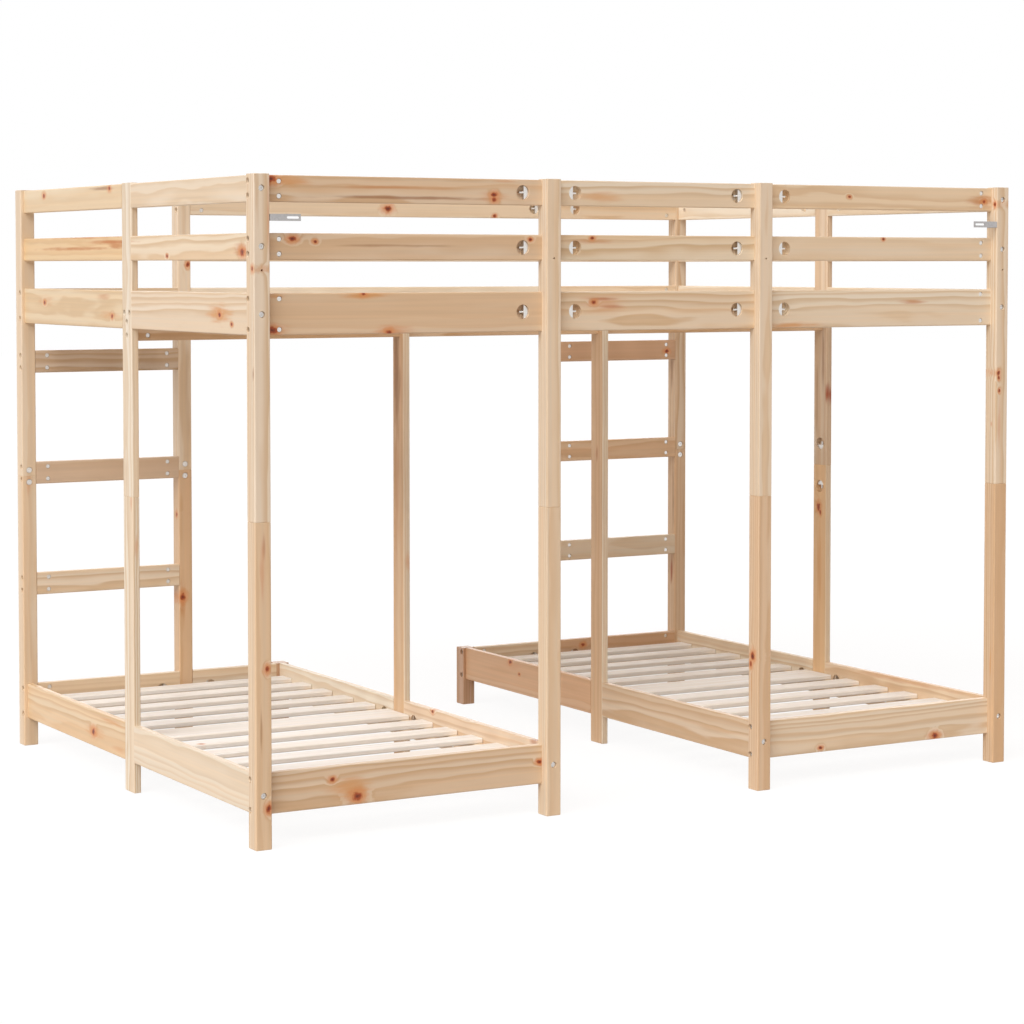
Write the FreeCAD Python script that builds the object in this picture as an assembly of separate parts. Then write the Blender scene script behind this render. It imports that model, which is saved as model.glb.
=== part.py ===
import FreeCAD, Part
import math
import os

# Bunk bed for three: two single beds side by side below, one wide bed above them.
# Lengths are in millimetres, +Z is up, +X runs along the long side and -Y is the wall side.
# The origin lies on the floor under the middle of the frame.

V = FreeCAD.Vector
X_AXIS = V(1, 0, 0)
Y_AXIS = V(0, 1, 0)
Z_AXIS = V(0, 0, 1)
WALL = V(0, -1, 0)
LADDER = V(0, 1, 0)

# Timber sections
POST_X = 38.0
POST_Y = 40.0
BOARD_T = 18.0
GUARD_H = 58.0
RAIL_H = 90.0
EDGE_R = 3.0
END_BREAK = 1.0

# Plan
BED_CLEAR_X = 706.0
BED_CLEAR_Y = 1413.0
AISLE = 548.0
LADDER_CLEAR = 400.0

# Heights
LOWER_RAIL_Z = 72.0
UPPER_RAIL_Z = 1105.0
GUARD_GAP_LOW = 71.0
GUARD_GAP_HIGH = 66.0
POST_OVER = 2.0
RUNG_FIRST = 423.5
RUNG_PITCH = 290.5
RUNG_COUNT = 3
JOINT_BELOW_RUNG = 8.0

# Slats and the ledges they lie on
SLAT_W = 58.0
SLAT_T = 12.0
CENTRE_SLAT_W = 118.0
SLATS_PER_HALF = 5
UPPER_SLATS = 16
SLAT_END_GAP = 2.0
SLAT_SIDE_GAP = 21.5
LEDGE_DROP = 43.0
LEDGE_W = 25.0
LEDGE_H = 25.0

# Fasteners
FIT = 0.3
ROD_R = 3.0
HEAD_R = 6.6
HEAD_T = 2.0
HEAD_ROUND = 0.8
SOCKET_AF = 4.0
SOCKET_DEPTH = 1.6
BOLT_TIP = 8.0
BOLT_SINK = 6.0
BOLT_BORE_R = 7.2
NUT_BACK = 32.0
NUT_R = 5.0
NUT_LENGTH = 14.0
NUT_SINK = 1.5
NUT_EASE = 0.8
MOON_R = 16.2
MOON_T = 10.0
MOON_FLAT = 4.0
MOON_BACK = 50.0
MOON_JOINT_BACK = 59.0
ROD_TIP = 6.0
RAIL_BOLT_OFF = 33.0
GUARD_BOLT_OFF = 16.0
JOINT_BOLT_OFF = 15.7
JOINT_HEAD_R = 7.5
JOINT_BORE_R = 8.5
JOINT_BORE_DEPTH = 3.5
PIN_R = 6.0
PIN_LENGTH = 80.0
SCREW_R = 2.0
SCREW_LENGTH = 36.0
SCREW_HEAD_R = 4.0
SCREW_HEAD_T = 2.2
SCREW_STEP = 330.0
SCREW_END = 45.0
SCREW_UP = 6.0
PILOT_R = 2.5
PILOT_DEPTH = 12.0
PILOT_CORNER_UP = 49.0
PILOT_INNER_UP = 76.0

# Wall brackets
BRACKET_REACH = 73.0
BRACKET_LEG = 36.0
BRACKET_H = 15.0
BRACKET_T = 2.0
SLOT_LENGTH = 29.0
SLOT_W = 5.0
SLOT_EDGE = 4.0
BRACKET_SCREW_OUT = 6.0

# Derived plan
SIDE_INSET = (POST_X - BOARD_T) / 2
BED_X = BED_CLEAR_X + 2 * (SIDE_INSET + BOARD_T)
HALF_X = BED_X + AISLE / 2
HALF_Y = BED_CLEAR_Y / 2 + POST_Y
IN_Y = BED_CLEAR_Y / 2
SIDE_IN = SIDE_INSET + BOARD_T
SIDE_MID = POST_X / 2
RAIL_MID_Y = IN_Y + BOARD_T / 2
LADDER_POST = POST_X + LADDER_CLEAR
INNER_POST = BED_X - POST_X

# Derived heights
LOW_TOP = UPPER_RAIL_Z + RAIL_H
MID_GUARD_Z = LOW_TOP + GUARD_GAP_LOW
TOP_GUARD_Z = MID_GUARD_Z + GUARD_H + GUARD_GAP_HIGH
HEIGHT = TOP_GUARD_Z + GUARD_H + POST_OVER
JOINT_Z = RUNG_FIRST + RUNG_PITCH - JOINT_BELOW_RUNG
LOWER_LEDGE_Z = LOWER_RAIL_Z + RAIL_H - LEDGE_DROP
UPPER_LEDGE_Z = LOW_TOP - LEDGE_DROP
CAP_Z = UPPER_LEDGE_Z - BOARD_T
BEAM_Z = CAP_Z - GUARD_H
LOWER_MID = LOWER_RAIL_Z + RAIL_H / 2
UPPER_MID = UPPER_RAIL_Z + RAIL_H / 2
GUARD_MIDS = (MID_GUARD_Z + GUARD_H / 2, TOP_GUARD_Z + GUARD_H / 2)
RUNG_MIDS = [RUNG_FIRST + i * RUNG_PITCH for i in range(RUNG_COUNT)]
SIDES = {"left": -1, "right": 1}

nodes = {}
bores = []


def add(node, *solids):
    """Put solids into a named node."""
    nodes.setdefault(node, []).extend(solids)


def across(side, near, far):
    """X span between two distances measured inward from one short side."""
    ends = (side * (HALF_X - near), side * (HALF_X - far))
    return (min(ends), max(ends))


def around(middle, size):
    """Span of a given size about a middle."""
    return (middle - size / 2, middle + size / 2)


def wall_span(row, near, far):
    """Y span between two distances measured outward from the middle, on one long side."""
    ends = (row * near, row * far)
    return (min(ends), max(ends))


def cylinder(radius, length, start, along):
    """Cylinder from a start point along a direction."""
    return Part.makeCylinder(radius, length, start, along)


def bar(x, y, z, along):
    """Planed board or post: a box whose four long edges are rounded."""
    size = V(x[1] - x[0], y[1] - y[0], z[1] - z[0])
    solid = Part.makeBox(size.x, size.y, size.z, V(x[0], y[0], z[0]))
    long_edges = []
    for edge in solid.Edges:
        run = edge.Vertexes[1].Point - edge.Vertexes[0].Point
        if abs(run.dot(along)) > 0.5 * run.Length:
            long_edges.append(edge)
    return solid.makeFillet(EDGE_R, long_edges)


def post(x, y, z):
    """Upright with rounded corners and lightly broken end edges."""
    solid = bar(x, y, z, Z_AXIS)
    rims = [edge for edge in solid.Edges if edge.BoundBox.ZLength < 0.01]
    return solid.makeChamfer(END_BREAK, rims)


def headed(shank_r, length, head_r, head_t, round_r):
    """Bolt or screw along +Z, head seat at the origin, hexagon socket in the head."""
    head = cylinder(head_r, head_t, V(0, 0, -head_t), Z_AXIS)
    rim = [edge for edge in head.Edges if abs(edge.BoundBox.ZMax + head_t) < 0.01]
    head = head.makeFillet(round_r, [edge for edge in rim if edge.BoundBox.ZLength < 0.01])
    corners = []
    for i in range(7):
        turn = math.radians(60 * i)
        reach = SOCKET_AF / math.sqrt(3)
        corners.append(V(reach * math.cos(turn), reach * math.sin(turn), -head_t))
    socket = Part.Face(Part.makePolygon(corners)).extrude(V(0, 0, SOCKET_DEPTH))
    return head.fuse(cylinder(shank_r, length, V(), Z_AXIS)).removeSplitter().cut(socket)


def placed(shape, at, along):
    """Copy of a shape drawn along +Z, turned along a direction and moved to a point."""
    copy = shape.copy()
    copy.Placement = FreeCAD.Placement(at, FreeCAD.Rotation(Z_AXIS, along))
    return copy


def corner_bolt(start, into, grip, nut_face):
    """Sunk bolt through a post into the end of a board, with a barrel nut let into the board."""
    seat = start + into * BOLT_SINK
    reach = grip + NUT_BACK - BOLT_SINK
    mouth = seat + into * reach + nut_face * (BOARD_T / 2)
    bore = cylinder(ROD_R + FIT, reach + BOLT_TIP + FIT, seat, into)
    nut = cylinder(NUT_R, NUT_LENGTH, mouth - nut_face * NUT_SINK, nut_face * -1)
    bolt = headed(ROD_R, reach + BOLT_TIP, HEAD_R, HEAD_T, HEAD_ROUND)
    add("connector_bolts", placed(bolt, seat, into))
    add("barrel_nuts", nut.cut(bore))
    bores.append(bore)
    bores.append(cylinder(BOLT_BORE_R, BOLT_SINK, start, into))
    bores.append(cylinder(NUT_R + NUT_EASE, NUT_LENGTH + NUT_SINK, mouth, nut_face * -1))


def moon_nut(at, toward, face):
    """Half-moon nut in its round pocket, curved side toward the post it pulls on."""
    sunk = BOARD_T / 2 + MOON_T / 2
    mouth = at + face * (BOARD_T / 2)
    disc = cylinder(MOON_R, MOON_T, mouth - face * sunk, face)
    half = cylinder(MOON_R * 2, MOON_R * 2, at + toward * MOON_FLAT, toward)
    bore = cylinder(ROD_R + FIT, MOON_R * 2, at - toward * MOON_R, toward)
    add("half_moon_nuts", disc.common(half).cut(bore))
    bores.append(cylinder(MOON_R + FIT, sunk, mouth, face * -1))


def tie_rod(middle, along, reach, face):
    """Threaded rod through a post, a half-moon nut at each end."""
    length = 2 * (reach + ROD_TIP)
    start = middle - along * (length / 2)
    add("threaded_rods", cylinder(ROD_R, length, start, along))
    bores.append(cylinder(ROD_R + FIT, length, start, along))
    moon_nut(middle + along * reach, along * -1, face)
    moon_nut(middle - along * reach, along, face)


def post_joint(x, y_face, face):
    """Steel pin inside a butted post, held by a bolt above and one below the joint."""
    axis = V(x, y_face, JOINT_Z) - face * (POST_Y / 2)
    pin_start = axis - Z_AXIS * (PIN_LENGTH / 2)
    pin = cylinder(PIN_R, PIN_LENGTH, pin_start, Z_AXIS)
    bores.append(cylinder(PIN_R + FIT, PIN_LENGTH, pin_start, Z_AXIS))
    length = POST_Y / 2 - JOINT_BORE_DEPTH + PIN_R
    bolt = headed(ROD_R, length, JOINT_HEAD_R, HEAD_T, HEAD_ROUND)
    for off in (-JOINT_BOLT_OFF, JOINT_BOLT_OFF):
        mouth = V(x, y_face, JOINT_Z + off)
        seat = mouth - face * JOINT_BORE_DEPTH
        bore = cylinder(ROD_R + FIT, length + FIT, seat, face * -1)
        pin = pin.cut(bore)
        bores.append(bore)
        bores.append(cylinder(JOINT_BORE_R, JOINT_BORE_DEPTH, mouth, face * -1))
        add("post_joint_bolts", placed(bolt, seat, face * -1))
    add("post_joint_pins", pin)


def screw(seat, into):
    """Pan-head screw through one piece into the next."""
    shape = headed(SCREW_R, SCREW_LENGTH, SCREW_HEAD_R, SCREW_HEAD_T, HEAD_ROUND)
    add("pan_head_screws", placed(shape, seat, into))
    bores.append(cylinder(SCREW_R + FIT, SCREW_LENGTH + FIT, seat, into))


def screw_row(start, end, into):
    """Evenly spaced screws along a line."""
    run = end - start
    usable = run.Length - 2 * SCREW_END
    count = max(2, int(round(usable / SCREW_STEP)) + 1)
    step = run.normalize()
    for i in range(count):
        screw(start + step * (SCREW_END + usable * i / (count - 1)), into)


def two_part_post(node, x, y):
    """Post in two lengths, butted at the joint height."""
    add(node + "_lower", post(x, y, (0, JOINT_Z)))
    add(node + "_upper", post(x, y, (JOINT_Z, HEIGHT)))


def posts():
    """All uprights and the joints in their height."""
    for name, side in SIDES.items():
        outer = across(side, 0, POST_X)
        inner = across(side, INNER_POST, BED_X)
        ladder = across(side, LADDER_POST, LADDER_POST + POST_X)
        wall_y = wall_span(-1, IN_Y, HALF_Y)
        ladder_y = wall_span(1, IN_Y, HALF_Y)
        mid_y = around(0, GUARD_H)
        two_part_post("wall_corner_post_" + name, outer, wall_y)
        two_part_post("ladder_corner_post_" + name, outer, ladder_y)
        two_part_post("wall_inner_posts", inner, wall_y)
        two_part_post("ladder_inner_posts", ladder, ladder_y)
        two_part_post("end_mid_posts", across(side, SIDE_INSET, SIDE_IN), mid_y)
        bed_x = across(side, BED_X - SIDE_IN, BED_X - SIDE_INSET)
        add("bed_mid_posts", post(bed_x, mid_y, (0, CAP_Z)))
        add("short_legs", post(inner, ladder_y, (0, LOWER_RAIL_Z + RAIL_H)))
        for span in (outer, inner):
            post_joint(sum(span) / 2, -IN_Y, LADDER)
        for span in (outer, ladder):
            post_joint(sum(span) / 2, IN_Y, WALL)
        end_x = side * (HALF_X - SIDE_MID)
        tie_rod(V(end_x, 0, JOINT_Z), Z_AXIS, MOON_JOINT_BACK, X_AXIS * -side)


def pilot_holes():
    """Small blind holes in the wall face of the four wall posts."""
    for side in SIDES.values():
        for x, up in ((SIDE_MID, PILOT_CORNER_UP), (BED_X - SIDE_MID, PILOT_INNER_UP)):
            mouth = V(side * (HALF_X - x), -HALF_Y, LOW_TOP + up)
            bores.append(cylinder(PILOT_R, PILOT_DEPTH, mouth, LADDER))


def board_x(x, row, bottom, height):
    """Board along X, flush with the inner faces of the posts of one long side."""
    return bar(x, wall_span(row, IN_Y, IN_Y + BOARD_T), (bottom, bottom + height), X_AXIS)


def wall_side():
    """Rails and guards of the wall side, in three bays."""
    bays = {
        "left": (-HALF_X + POST_X, -HALF_X + INNER_POST),
        "middle": (-AISLE / 2, AISLE / 2),
        "right": (HALF_X - INNER_POST, HALF_X - POST_X),
    }
    for name, x in bays.items():
        add("wall_low_rail_" + name, board_x(x, -1, UPPER_RAIL_Z, RAIL_H))
        for z in (MID_GUARD_Z, TOP_GUARD_Z):
            add("wall_guards_" + name, board_x(x, -1, z, GUARD_H))
    for side in SIDES.values():
        seat_x = side * HALF_X
        end_bolts(seat_x, -side, -RAIL_MID_Y, UPPER_MID, RAIL_BOLT_OFF, WALL)
        inner_x = side * (HALF_X - BED_X + POST_X / 2)
        tie_rod(V(inner_x, -RAIL_MID_Y, UPPER_MID), X_AXIS, POST_X / 2 + MOON_BACK, WALL)
        for z in GUARD_MIDS:
            end_bolts(seat_x, -side, -RAIL_MID_Y, z, GUARD_BOLT_OFF, WALL)
            tie_rod(V(inner_x, -RAIL_MID_Y, z), X_AXIS, POST_X / 2 + MOON_BACK, WALL)


def end_bolts(x, toward, y, z, off, nut_face):
    """Pair of bolts along X, one above the other, into the end of a board."""
    for dz in (-off, off):
        corner_bolt(V(x, y, z + dz), X_AXIS * toward, POST_X, nut_face)


def ladder_side():
    """Rails and guards of the ladder side; the left bay stays open above its low rail."""
    ladder_in = HALF_X - LADDER_POST
    bays = {
        "left": (-HALF_X + POST_X, -ladder_in),
        "middle": (-ladder_in + POST_X, ladder_in - POST_X),
        "right": (ladder_in, HALF_X - POST_X),
    }
    for name, x in bays.items():
        add("ladder_low_rail_" + name, board_x(x, 1, UPPER_RAIL_Z, RAIL_H))
        if name != "left":
            for z in (MID_GUARD_Z, TOP_GUARD_Z):
                add("ladder_guards_" + name, board_x(x, 1, z, GUARD_H))
    reach = POST_X / 2 + MOON_BACK
    post_x = ladder_in - POST_X / 2
    for side in SIDES.values():
        end_bolts(side * HALF_X, -side, RAIL_MID_Y, UPPER_MID, RAIL_BOLT_OFF, WALL)
        tie_rod(V(side * post_x, RAIL_MID_Y, UPPER_MID), X_AXIS, reach, WALL)
    for z in GUARD_MIDS:
        end_bolts(HALF_X, -1, RAIL_MID_Y, z, GUARD_BOLT_OFF, WALL)
        end_bolts(-ladder_in, 1, RAIL_MID_Y, z, GUARD_BOLT_OFF, WALL)
        tie_rod(V(post_x, RAIL_MID_Y, z), X_AXIS, reach, WALL)


def side_boards(node, x, bottom, height):
    """Pair of boards along Y, from each long side's posts to the mid post."""
    for row in (-1, 1):
        y = wall_span(row, GUARD_H / 2, IN_Y)
        add(node, bar(x, y, (bottom, bottom + height), Y_AXIS))


def side_fastening(x, z, face):
    """One bolt at each corner post and a tie rod through the mid post."""
    for row in (-1, 1):
        corner_bolt(V(x, row * HALF_Y, z), Y_AXIS * -row, POST_Y, face)
    tie_rod(V(x, 0, z), Y_AXIS, GUARD_H / 2 + MOON_BACK, face)


def short_sides():
    """Rails and guards of the two short sides."""
    for name, side in SIDES.items():
        x = across(side, SIDE_INSET, SIDE_IN)
        middle = sum(x) / 2
        inward = X_AXIS * -side
        side_boards(name + "_end_low_rails", x, UPPER_RAIL_Z, RAIL_H)
        side_fastening(middle, UPPER_MID, inward)
        for z in (MID_GUARD_Z, TOP_GUARD_Z):
            side_boards(name + "_end_guards", x, z, GUARD_H)
        for z in GUARD_MIDS:
            side_fastening(middle, z, inward)


def ladders():
    """Three rungs between each ladder-side corner post and its neighbour."""
    for name, side in SIDES.items():
        x = across(side, POST_X, LADDER_POST)
        for z in RUNG_MIDS:
            add(name + "_ladder_rungs", board_x(x, 1, z - GUARD_H / 2, GUARD_H))
            end_bolts(side * HALF_X, -side, RAIL_MID_Y, z, GUARD_BOLT_OFF, WALL)
            seat = side * (HALF_X - LADDER_POST - POST_X)
            end_bolts(seat, side, RAIL_MID_Y, z, GUARD_BOLT_OFF, WALL)


def mid_beam():
    """T-shaped beam under the upper slats: upright boards and a flat cap."""
    y = around(0, BOARD_T)
    z = (BEAM_Z, CAP_Z)
    bed_in = HALF_X - BED_X + SIDE_INSET
    clear = HALF_X - SIDE_IN
    for side in SIDES.values():
        add("mid_beam_uprights", bar(across(side, SIDE_IN, BED_X - SIDE_IN), y, z, X_AXIS))
        post_x = side * (bed_in + BOARD_T / 2)
        middle = V(post_x, 0, BEAM_Z + GUARD_H / 2)
        tie_rod(middle, X_AXIS, BOARD_T / 2 + MOON_BACK, WALL)
        seat_x = side * (HALF_X - SIDE_INSET)
        for off in (-GUARD_BOLT_OFF, GUARD_BOLT_OFF):
            upright = V(seat_x, 0, BEAM_Z + GUARD_H / 2 + off)
            corner_bolt(upright, X_AXIS * -side, BOARD_T, WALL)
            flat = V(seat_x, off, CAP_Z + BOARD_T / 2)
            corner_bolt(flat, X_AXIS * -side, BOARD_T, Z_AXIS * -1)
    add("mid_beam_uprights", bar((-bed_in, bed_in), y, z, X_AXIS))
    add("mid_beam_cap", bar((-clear, clear), around(0, GUARD_H), (CAP_Z, UPPER_LEDGE_Z), X_AXIS))


def bed_ends(name, side):
    """Wall-end rail and the two ladder-end rails of one lower bed."""
    ladder_far = LADDER_POST + POST_X
    add(name + "_bed_wall_rail", board_x(across(side, POST_X, INNER_POST), -1, LOWER_RAIL_Z, RAIL_H))
    for near, far in ((POST_X, LADDER_POST), (ladder_far, INNER_POST)):
        rail = board_x(across(side, near, far), 1, LOWER_RAIL_Z, RAIL_H)
        add(name + "_bed_ladder_rails", rail)
    for row, nut_face in ((-1, LADDER), (1, WALL)):
        y = row * RAIL_MID_Y
        end_bolts(side * HALF_X, -side, y, LOWER_MID, RAIL_BOLT_OFF, nut_face)
        end_bolts(side * (HALF_X - BED_X), side, y, LOWER_MID, RAIL_BOLT_OFF, nut_face)
    post_x = side * (HALF_X - LADDER_POST - POST_X / 2)
    tie_rod(V(post_x, RAIL_MID_Y, LOWER_MID), X_AXIS, POST_X / 2 + MOON_BACK, WALL)


def bed_sides(name, side):
    """Outer and inner side rails of one lower bed, with the ledges on them."""
    rails = {
        "outer": (across(side, SIDE_INSET, SIDE_IN), -side),
        "inner": (across(side, BED_X - SIDE_IN, BED_X - SIDE_INSET), side),
    }
    for place, (x, inward) in rails.items():
        side_boards(name + "_bed_" + place + "_rails", x, LOWER_RAIL_Z, RAIL_H)
        side_fastening(sum(x) / 2, LOWER_MID, X_AXIS * inward)
        face = sum(x) / 2 + inward * BOARD_T / 2
        ledge_x = sorted((face, face + inward * LEDGE_W))
        z = (LOWER_LEDGE_Z - LEDGE_H, LOWER_LEDGE_Z)
        add(name + "_bed_ledges", bar(ledge_x, (-IN_Y, IN_Y), z, Y_AXIS))
        out = face + inward * LEDGE_W
        row_z = LOWER_LEDGE_Z - LEDGE_H + SCREW_UP
        screw_row(V(out, -IN_Y, row_z), V(out, IN_Y, row_z), X_AXIS * -inward)


def bed_slats(name, side):
    """Slats across one lower bed: equal halves about a wide centre slat."""
    x = across(side, SIDE_IN + SLAT_END_GAP, BED_X - SIDE_IN - SLAT_END_GAP)
    z = (LOWER_LEDGE_Z, LOWER_LEDGE_Z + SLAT_T)
    add(name + "_bed_centre_slat", bar(x, around(0, CENTRE_SLAT_W), z, X_AXIS))
    room = IN_Y - SLAT_SIDE_GAP - CENTRE_SLAT_W / 2
    pitch = room / SLATS_PER_HALF
    for row in (-1, 1):
        for i in range(SLATS_PER_HALF):
            far = IN_Y - SLAT_SIDE_GAP - i * pitch
            y = wall_span(row, far - SLAT_W, far)
            add(name + "_bed_slats", bar(x, y, z, X_AXIS))


def upper_bed():
    """Slats of the wide bed, carried by a ledge on each long side and by the mid beam."""
    clear = HALF_X - SIDE_IN
    gap = (2 * clear - UPPER_SLATS * SLAT_W) / (UPPER_SLATS + 1)
    y = (-IN_Y + SLAT_END_GAP, IN_Y - SLAT_END_GAP)
    for i in range(UPPER_SLATS):
        start = -clear + gap + i * (SLAT_W + gap)
        z = (UPPER_LEDGE_Z, UPPER_LEDGE_Z + SLAT_T)
        add("upper_bed_slats", bar((start, start + SLAT_W), y, z, Y_AXIS))
    for row in (-1, 1):
        ledge_y = wall_span(row, IN_Y - LEDGE_W, IN_Y)
        z = (UPPER_LEDGE_Z - LEDGE_H, UPPER_LEDGE_Z)
        add("upper_bed_ledges", bar((-clear, clear), ledge_y, z, X_AXIS))
        out = row * (IN_Y - LEDGE_W)
        row_z = UPPER_LEDGE_Z - LEDGE_H + SCREW_UP
        screw_row(V(-clear, out, row_z), V(clear, out, row_z), Y_AXIS * row)


def slot(x, z):
    """Round-ended slot through a bracket plate."""
    half = SLOT_W / 2
    ends = [cylinder(half, BRACKET_T, V(end, -HALF_Y, z), LADDER) for end in (x[0] + half, x[1] - half)]
    start = V(x[0] + half, -HALF_Y, z - half)
    return Part.makeBox(SLOT_LENGTH - SLOT_W, BRACKET_T, SLOT_W, start).fuse(ends).removeSplitter()


def wall_brackets():
    """Slotted angle brackets on the inner faces of the wall corner posts."""
    z0 = MID_GUARD_Z + GUARD_H + GUARD_GAP_HIGH / 2 - BRACKET_H / 2
    for name, side in SIDES.items():
        x = across(side, POST_X, POST_X + BRACKET_REACH)
        plate = Part.makeBox(x[1] - x[0], BRACKET_T, BRACKET_H, V(x[0], -HALF_Y, z0))
        leg = across(side, POST_X, POST_X + BRACKET_T)
        tab = Part.makeBox(BRACKET_T, BRACKET_LEG, BRACKET_H, V(leg[0], -HALF_Y, z0))
        far = POST_X + BRACKET_REACH - SLOT_EDGE
        slot_x = across(side, far - SLOT_LENGTH, far)
        bracket = plate.fuse(tab).removeSplitter().cut(slot(slot_x, z0 + BRACKET_H / 2))
        seat_x = side * (HALF_X - POST_X - BRACKET_T)
        for back in (BRACKET_LEG / 2, BRACKET_LEG):
            y = -HALF_Y + back - BRACKET_SCREW_OUT
            screw(V(seat_x, y, z0 + BRACKET_H / 2), X_AXIS * side)
        add("wall_bracket_" + name, bracket)


def drilled(solid):
    """Solid with every bore that reaches it cut out."""
    hits = [bore for bore in bores if solid.BoundBox.intersect(bore.BoundBox)]
    return solid.cut(hits) if hits else solid


def main():
    """Build every node and write it."""
    posts()
    pilot_holes()
    wall_side()
    ladder_side()
    short_sides()
    ladders()
    mid_beam()
    upper_bed()
    for name, side in SIDES.items():
        bed_ends(name, side)
        bed_sides(name, side)
        bed_slats(name, side)
    wall_brackets()
    fasteners = ("connector_bolts", "barrel_nuts", "threaded_rods", "half_moon_nuts",
                 "post_joint_bolts", "post_joint_pins", "pan_head_screws")
    os.makedirs("parts", exist_ok=True)
    for node, solids in nodes.items():
        if node not in fasteners:
            solids = [drilled(solid) for solid in solids]
        shape = solids[0] if len(solids) == 1 else Part.makeCompound(solids)
        shape.exportStep("parts/" + node + ".step")
    print(len(nodes), "nodes,", sum(len(s) for s in nodes.values()), "solids")


main()
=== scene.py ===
"""Dresses the pine bunk bed: planed boards with their own tone, grain and knots, steel fixings, a white studio."""

import logging
import math
from dataclasses import dataclass, field
from enum import Enum

import bpy
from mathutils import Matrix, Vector


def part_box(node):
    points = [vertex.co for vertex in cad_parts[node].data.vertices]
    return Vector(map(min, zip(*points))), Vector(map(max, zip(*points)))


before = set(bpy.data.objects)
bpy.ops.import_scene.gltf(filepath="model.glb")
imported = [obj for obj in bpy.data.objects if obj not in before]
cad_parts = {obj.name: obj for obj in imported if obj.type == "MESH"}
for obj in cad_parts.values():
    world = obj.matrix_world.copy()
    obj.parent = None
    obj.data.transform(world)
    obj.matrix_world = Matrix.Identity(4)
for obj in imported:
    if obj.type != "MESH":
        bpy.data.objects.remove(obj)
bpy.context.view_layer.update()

Place = tuple[float, float, float]
Colour = tuple[float, float, float, float]
Tree = bpy.types.NodeTree
Socket = bpy.types.NodeSocket

LOG = logging.getLogger("bunk_bed")
MM = 0.001
# A step in metres, longer than the bed, for a direction that holds a single board.
FAR_APART = 20.0
# Chances from nought to one are spread over this many metres of timber, so that no two boards are alike.
SEED_SPREAD = 40.0
SEED_STEPS = (1.7, 2.3, 3.1)
# Half the depth of a branch or a stain in millimetres: more than any board is thick.
BRANCH_DEPTH = 110.0
# A board cuts its branches at a slant, so a knot is longer along the fibres.
KNOT_STRETCH = 1.4


class Axis(Enum):
    """One of the frame's three directions."""

    X = 0
    Y = 1
    Z = 2


class Side(Enum):
    """Which end of the bed a piece belongs to."""

    LEFT = "left"
    RIGHT = "right"


class Tone(Enum):
    """Colour of a board: its earlywood, its latewood and the warmer bands across groups of years."""

    WHITE = ("#FCFAF6", "#F2EADD", "#F9F2E8")
    PALE = ("#EFE4D1", "#D9BF9B", "#E8D0B0")
    CREAM = ("#EDDEC9", "#D7BA95", "#E5CBA9")
    BUFF = ("#EAD8BF", "#D5B58D", "#E3C5A1")
    TAN = ("#E4D0B7", "#D0AE87", "#DDBE9A")
    RUSSET = ("#E3C8A9", "#CFA87D", "#DCB78E")
    UMBER = ("#CBAA90", "#B98E69", "#C59B78")


class StainAndShade(Enum):
    """Colour of the resin along the fibres near a knot; brown and rust also serve as painted shade."""

    SALMON = "#D8A47C"
    AMBER = "#D6985A"
    RUST = "#C47C3E"
    RED = "#A9522C"
    BROWN = "#9C6C48"


def linear(hex_colour: str) -> Colour:
    """Turn an sRGB hex value into linear RGBA.

    Args:
        hex_colour: colour written as #RRGGBB.

    Returns:
        Linear red, green and blue, and an alpha of one.
    """
    shares = [int(hex_colour[i:i + 2], 16) / 255 for i in (1, 3, 5)]
    red, green, blue = (s / 12.92 if s <= 0.04045 else ((s + 0.055) / 1.055) ** 2.4 for s in shares)
    return (red, green, blue, 1.0)


def cells(along: float, across: float) -> Place:
    """Cells of a pattern in a metre, from the size of one along and across the fibres in millimetres."""
    return (1000 / along, 1000 / across, 1000 / across)


def add_node(
    tree: Tree, kind: str, inputs: dict[int | str, object] | None = None, **settings: object
) -> bpy.types.bpy_prop_collection:
    """Add a node to a tree with its settings, values and links.

    Args:
        tree: node tree that takes the node.
        kind: Blender's name for the node type, after the ShaderNode that they all begin with.
        inputs: for each input, by number or name, a socket to link or a value to set.
        settings: properties of the node.

    Returns:
        The new node's outputs.
    """
    node = tree.nodes.new("ShaderNode" + kind)
    for name, value in settings.items():
        setattr(node, name, value)
    for key, value in (inputs or {}).items():
        if isinstance(value, Socket):
            tree.links.new(value, node.inputs[key])
        else:
            node.inputs[key].default_value = value
    return node.outputs


def empty_material(name: str) -> bpy.types.Material:
    """Make a material with an empty node tree.

    Args:
        name: name of the material.

    Returns:
        The material.
    """
    material = bpy.data.materials.new(name)
    material.use_nodes = True
    material.node_tree.nodes.clear()
    return material


def dress(node: str, material: bpy.types.Material) -> None:
    """Give every slot of a CAD node one material and report it.

    Args:
        node: name of the CAD node.
        material: its finish.
    """
    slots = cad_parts[node].data.materials
    for i in range(len(slots)):
        slots[i] = material
    LOG.info("%s: %s", node, material.name)


@dataclass(frozen=True)
class Row:
    """Boards side by side along an axis: middle of the first one and the step to the next, in metres."""

    first: float
    step: float

    @classmethod
    def spread(cls, node: str, axis: Axis, count: int, size: float) -> "Row":
        """Read a row of equal boards from a node's box.

        Args:
            node: name of the CAD node.
            axis: axis that the boards are spread along.
            count: number of boards.
            size: size of one board along that axis, in millimetres.

        Returns:
            The row.
        """
        low, high = (corner[axis.value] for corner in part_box(node))
        half = size * MM / 2
        return cls(low + half, (high - low - 2 * half) / (count - 1))

    @classmethod
    def parted(cls, at: float) -> "Row":
        """Two boards end to end, parted at one place given in metres."""
        return cls(at - FAR_APART / 2, FAR_APART)


@dataclass(frozen=True)
class Lay:
    """How the boards of a node lie: fibre direction, thickness direction and any rows of boards."""

    grain: Axis
    face: Axis
    rows: dict[Axis, Row] = field(default_factory=dict)
    mirrored: bool = False

    @property
    def across(self) -> Axis:
        """Direction of the board's width."""
        return next(axis for axis in Axis if axis not in (self.grain, self.face))


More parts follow.
